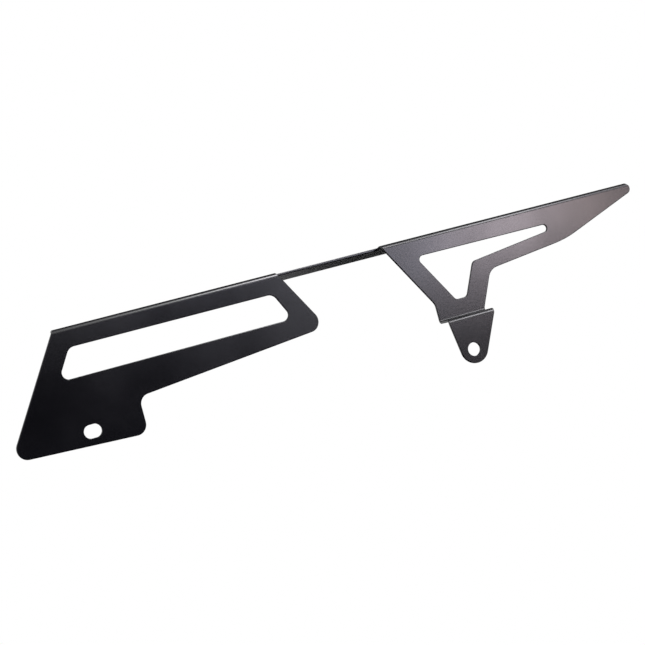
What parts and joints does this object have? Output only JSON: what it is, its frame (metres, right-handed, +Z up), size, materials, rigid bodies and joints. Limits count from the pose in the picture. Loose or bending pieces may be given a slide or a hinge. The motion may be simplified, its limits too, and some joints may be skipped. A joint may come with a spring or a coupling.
{
  "type": "motorcycle chain guard",
  "caption": "Folded sheet-steel chain guard for a motorcycle: long top flange, slotted front panel, rear panel with a window and a stepped bolt tab.",
  "frame": {"origin": "centre of the rear bolt hole, on the face of the tab that seats on the bike", "axes": "+X along the top fold towards the tail of the bike, +Y inboard towards the wheel, +Z up, with the top fold level"},
  "size_m": [0.4674, 0.0374, 0.0912],
  "materials": {
    "coated_steel": "satin black powder coat on sheet steel"
  },
  "bodies": {
    "root": {"chain_guard": "coated_steel"}
  },
  "joints": []
}
